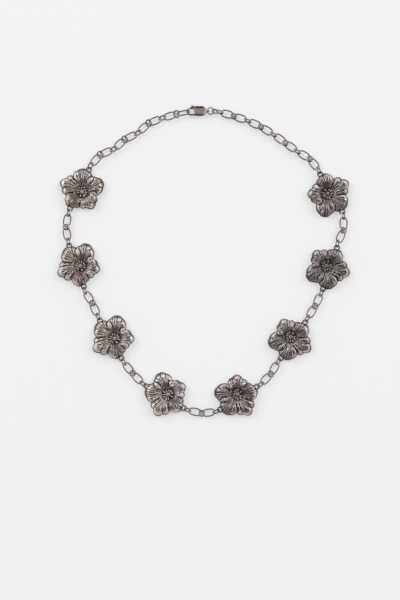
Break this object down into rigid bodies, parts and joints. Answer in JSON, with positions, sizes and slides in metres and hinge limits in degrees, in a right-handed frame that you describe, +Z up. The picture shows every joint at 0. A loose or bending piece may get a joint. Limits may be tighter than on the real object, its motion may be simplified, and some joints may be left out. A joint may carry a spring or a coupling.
{
  "type": "flower collar necklace",
  "caption": "Oxidised silver collar necklace: cast open flowers joined by an oval link chain, closed by a lobster clasp, laid out flat in a loop.",
  "frame": {"origin": "middle of the loop's bounding box across and along, on the surface that the necklace lies on", "axes": "+Z up off the surface, +Y from the front of the necklace (the lowest flowers) to the clasp, +X to the right of the picture"},
  "size_m": [0.1524, 0.1621, 0.0049],
  "materials": {
    "flower_silver": "cast silver, blackened in the hollows and rubbed bright on the crests",
    "oval_link_silver": "drawn silver wire, darkened, bright along its outer side",
    "small_link_silver": "drawn silver wire, darkened",
    "clasp_silver": "smooth cast silver, darkened",
    "lever_silver": "smooth silver, rubbed bright"
  },
  "bodies": {
    "necklace": {"flower_1": "flower_silver", "flower_2": "flower_silver", "flower_3": "flower_silver", "flower_4": "flower_silver", "flower_5": "flower_silver", "flower_6": "flower_silver", "flower_7": "flower_silver", "flower_8": "flower_silver", "oval_link_1_1": "oval_link_silver", "oval_link_1_2": "oval_link_silver", "oval_link_2_1": "oval_link_silver", "oval_link_2_2": "oval_link_silver", "oval_link_3_1": "oval_link_silver", "oval_link_3_2": "oval_link_silver", "oval_link_4_1": "oval_link_silver", "oval_link_4_2": "oval_link_silver", "oval_link_5_1": "oval_link_silver", "oval_link_5_2": "oval_link_silver", "oval_link_6_1": "oval_link_silver", "oval_link_6_2": "oval_link_silver", "oval_link_7_1": "oval_link_silver", "oval_link_7_2": "oval_link_silver", "oval_link_left_1": "oval_link_silver", "oval_link_left_2": "oval_link_silver", "oval_link_left_3": "oval_link_silver", "oval_link_left_4": "oval_link_silver", "oval_link_left_5": "oval_link_silver", "oval_link_left_6": "oval_link_silver", "oval_link_left_7": "oval_link_silver", "oval_link_left_8": "oval_link_silver", "oval_link_right_1": "oval_link_silver", "oval_link_right_2": "oval_link_silver", "oval_link_right_3": "oval_link_silver", "oval_link_right_4": "oval_link_silver", "oval_link_right_5": "oval_link_silver", "oval_link_right_6": "oval_link_silver", "oval_link_right_7": "oval_link_silver", "oval_link_right_8": "oval_link_silver", "small_links_1": "small_link_silver", "small_links_2": "small_link_silver", "small_links_3": "small_link_silver", "small_links_4": "small_link_silver", "small_links_5": "small_link_silver", "small_links_6": "small_link_silver", "small_links_7": "small_link_silver", "small_links_left": "small_link_silver", "small_links_right": "small_link_silver", "clasp_body": "clasp_silver", "jump_ring": "small_link_silver", "end_link": "small_link_silver"},
    "lever": {"clasp_lever": "lever_silver"}
  },
  "joints": [
    {"name": "clasp_lever_hinge", "type": "hinge", "parent": "necklace", "child": "lever", "pos_m": [-0.00291, 0.07937, 0.00164], "axis": [0, 0, 1], "range_deg": [0, 20], "stiffness_Nm_per_rad": 0.0001, "springref_deg": -11.46}
  ]
}
